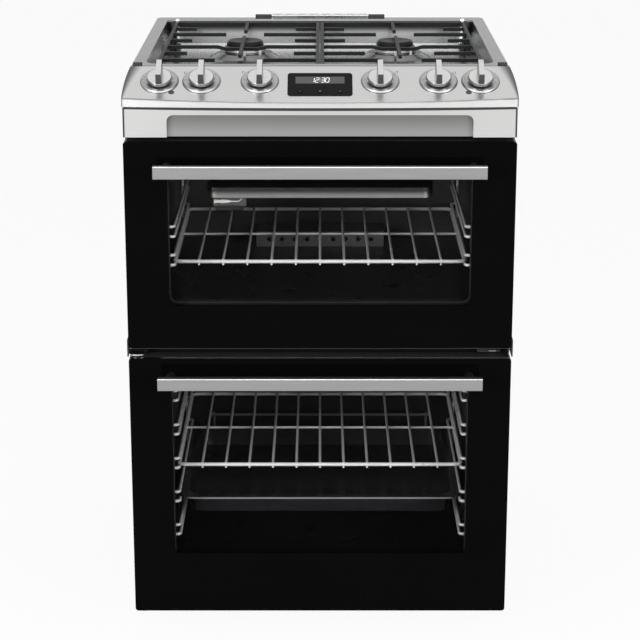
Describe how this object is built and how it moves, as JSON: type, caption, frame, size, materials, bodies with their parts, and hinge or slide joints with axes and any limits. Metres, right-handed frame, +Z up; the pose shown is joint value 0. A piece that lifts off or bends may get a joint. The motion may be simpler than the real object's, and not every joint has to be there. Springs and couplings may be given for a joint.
{
  "type": "freestanding gas cooker",
  "caption": "Freestanding gas cooker: steel hob with pan supports, sloped fascia with knobs and clock, drop-down upper and side-hung lower glass oven doors.",
  "frame": {"origin": "on the floor, under the middle of the cooker's box", "axes": "+Z up, the doors face -Y, +X to the right of someone who faces the doors"},
  "size_m": [0.6, 0.645, 0.9146],
  "materials": {
    "brushed_steel": "brushed, fine level grain",
    "hob_steel": "satin pressed steel",
    "black_enamel": "gloss vitreous enamel",
    "casing_paint": "satin powder coat",
    "zinc_sheet": "plain zinc coated sheet",
    "chrome_wire": "bright plated wire",
    "door_glass": "black printed border round a clear window",
    "inner_glass": "clear toughened glass",
    "seal_rubber": "matt silicone",
    "black_plastic": "fine matt grain",
    "display_glass": "gloss black",
    "knob_metal": "satin metal",
    "tap_brass": "machined",
    "pipe_metal": "drawn tube",
    "burner_metal": "cast, heat stained",
    "cast_iron": "matt enamelled iron",
    "ceramic": "glazed"
  },
  "bodies": {
    "casing": {"right_side_panel": "casing_paint", "left_side_panel": "casing_paint", "back_panel": "zinc_sheet", "base_tray": "zinc_sheet", "levelling_feet": "black_plastic", "front_frame": "black_enamel", "lower_cavity": "black_enamel", "upper_cavity": "black_enamel", "door_seals": "seal_rubber", "hinge_caps": "black_plastic", "door_hinges": "zinc_sheet", "lower_side_racks": "chrome_wire", "upper_side_racks": "chrome_wire", "grill_burner": "brushed_steel", "oven_burners": "pipe_metal", "oven_burner_covers": "black_enamel", "control_fascia": "brushed_steel", "vent_strip": "brushed_steel", "knob_bezels": "knob_metal", "gas_taps": "tap_brass", "gas_pipework": "pipe_metal", "gas_inlet": "tap_brass", "terminal_cover": "black_plastic", "display_window": "display_glass", "display_housing": "black_plastic", "hob_panel": "hob_steel", "burner_cups": "burner_metal", "burner_heads": "burner_metal", "burner_caps": "cast_iron", "burner_electrodes": "ceramic", "flue_outlet": "brushed_steel", "lid_buffers": "seal_rubber"},
    "upper_door": {"upper_door_glass": "door_glass", "upper_door_inner_glass": "inner_glass", "upper_door_pan": "casing_paint", "upper_door_handle": "brushed_steel"},
    "lower_door": {"lower_door_glass": "door_glass", "lower_door_inner_glass": "inner_glass", "lower_door_pan": "casing_paint", "lower_door_handle": "brushed_steel"},
    "left_grate": {"left_pan_support": "cast_iron"},
    "right_grate": {"right_pan_support": "cast_iron"},
    "top_shelf": {"upper_shelf": "chrome_wire"},
    "main_shelf": {"lower_shelf": "chrome_wire"},
    "tray": {"roasting_tray": "black_enamel"},
    "spindle_1": {"tap_spindle_1": "tap_brass"},
    "knob_1": {"control_knob_1": "knob_metal"},
    "spindle_2": {"tap_spindle_2": "tap_brass"},
    "knob_2": {"control_knob_2": "knob_metal"},
    "spindle_3": {"tap_spindle_3": "tap_brass"},
    "knob_3": {"control_knob_3": "knob_metal"},
    "spindle_4": {"tap_spindle_4": "tap_brass"},
    "knob_4": {"control_knob_4": "knob_metal"},
    "spindle_5": {"tap_spindle_5": "tap_brass"},
    "knob_5": {"control_knob_5": "knob_metal"},
    "spindle_6": {"tap_spindle_6": "tap_brass"},
    "knob_6": {"control_knob_6": "knob_metal"},
    "button_left": {"timer_button_left": "display_glass"},
    "button_middle": {"timer_button_middle": "display_glass"},
    "button_right": {"timer_button_right": "display_glass"}
  },
  "joints": [
    {"name": "upper_door_drop", "type": "hinge", "parent": "casing", "child": "upper_door", "pos_m": [0, -0.2575, 0.484], "axis": [1, 0, 0], "range_deg": [0, 90], "stiffness_Nm_per_rad": 1.5, "springref_deg": -57.3},
    {"name": "lower_door_swing", "type": "hinge", "parent": "casing", "child": "lower_door", "pos_m": [-0.284, -0.2575, 0.24], "axis": [0, 0, -1], "range_deg": [0, 95]},
    {"name": "left_grate_lift", "type": "slide", "parent": "casing", "child": "left_grate", "axis": [0, 0, 1], "range_m": [0, 0.08]},
    {"name": "right_grate_lift", "type": "slide", "parent": "casing", "child": "right_grate", "axis": [0, 0, 1], "range_m": [0, 0.08]},
    {"name": "top_shelf_slide", "type": "slide", "parent": "casing", "child": "top_shelf", "axis": [0, -1, 0], "range_m": [0, 0.026]},
    {"name": "main_shelf_slide", "type": "slide", "parent": "casing", "child": "main_shelf", "axis": [0, -1, 0], "range_m": [0, 0.026]},
    {"name": "tray_slide", "type": "slide", "parent": "casing", "child": "tray", "axis": [0, -1, 0], "range_m": [0, 0.03]},
    {"name": "knob_1_push", "type": "slide", "parent": "casing", "child": "spindle_1", "axis": [0, 0.5, -0.866], "range_m": [0, 0.004], "stiffness_N_per_m": 800, "springref_m": -0.004},
    {"name": "knob_1_turn", "type": "hinge", "parent": "spindle_1", "child": "knob_1", "pos_m": [-0.2425, -0.24286, 0.882], "axis": [0, -0.5, 0.866], "range_deg": [0, 270]},
    {"name": "knob_2_push", "type": "slide", "parent": "casing", "child": "spindle_2", "axis": [0, 0.5, -0.866], "range_m": [0, 0.004], "stiffness_N_per_m": 800, "springref_m": -0.004},
    {"name": "knob_2_turn", "type": "hinge", "parent": "spindle_2", "child": "knob_2", "pos_m": [-0.179, -0.24286, 0.882], "axis": [0, -0.5, 0.866], "range_deg": [0, 210]},
    {"name": "knob_3_push", "type": "slide", "parent": "casing", "child": "spindle_3", "axis": [0, 0.5, -0.866], "range_m": [0, 0.004], "stiffness_N_per_m": 800, "springref_m": -0.004},
    {"name": "knob_3_turn", "type": "hinge", "parent": "spindle_3", "child": "knob_3", "pos_m": [-0.091, -0.24286, 0.882], "axis": [0, -0.5, 0.866], "range_deg": [0, 210]},
    {"name": "knob_4_push", "type": "slide", "parent": "casing", "child": "spindle_4", "axis": [0, 0.5, -0.866], "range_m": [0, 0.004], "stiffness_N_per_m": 800, "springref_m": -0.004},
    {"name": "knob_4_turn", "type": "hinge", "parent": "spindle_4", "child": "knob_4", "pos_m": [0.091, -0.24286, 0.882], "axis": [0, -0.5, 0.866], "range_deg": [0, 210]},
    {"name": "knob_5_push", "type": "slide", "parent": "casing", "child": "spindle_5", "axis": [0, 0.5, -0.866], "range_m": [0, 0.004], "stiffness_N_per_m": 800, "springref_m": -0.004},
    {"name": "knob_5_turn", "type": "hinge", "parent": "spindle_5", "child": "knob_5", "pos_m": [0.179, -0.24286, 0.882], "axis": [0, -0.5, 0.866], "range_deg": [0, 210]},
    {"name": "knob_6_push", "type": "slide", "parent": "casing", "child": "spindle_6", "axis": [0, 0.5, -0.866], "range_m": [0, 0.004], "stiffness_N_per_m": 800, "springref_m": -0.004},
    {"name": "knob_6_turn", "type": "hinge", "parent": "spindle_6", "child": "knob_6", "pos_m": [0.2425, -0.24286, 0.882], "axis": [0, -0.5, 0.866], "range_deg": [0, 270]},
    {"name": "button_left_press", "type": "slide", "parent": "casing", "child": "button_left", "axis": [0, 0.5, -0.866], "range_m": [0, 0.001], "stiffness_N_per_m": 500, "springref_m": -0.002},
    {"name": "button_middle_press", "type": "slide", "parent": "casing", "child": "button_middle", "axis": [0, 0.5, -0.866], "range_m": [0, 0.001], "stiffness_N_per_m": 500, "springref_m": -0.002},
    {"name": "button_right_press", "type": "slide", "parent": "casing", "child": "button_right", "axis": [0, 0.5, -0.866], "range_m": [0, 0.001], "stiffness_N_per_m": 500, "springref_m": -0.002}
  ]
}
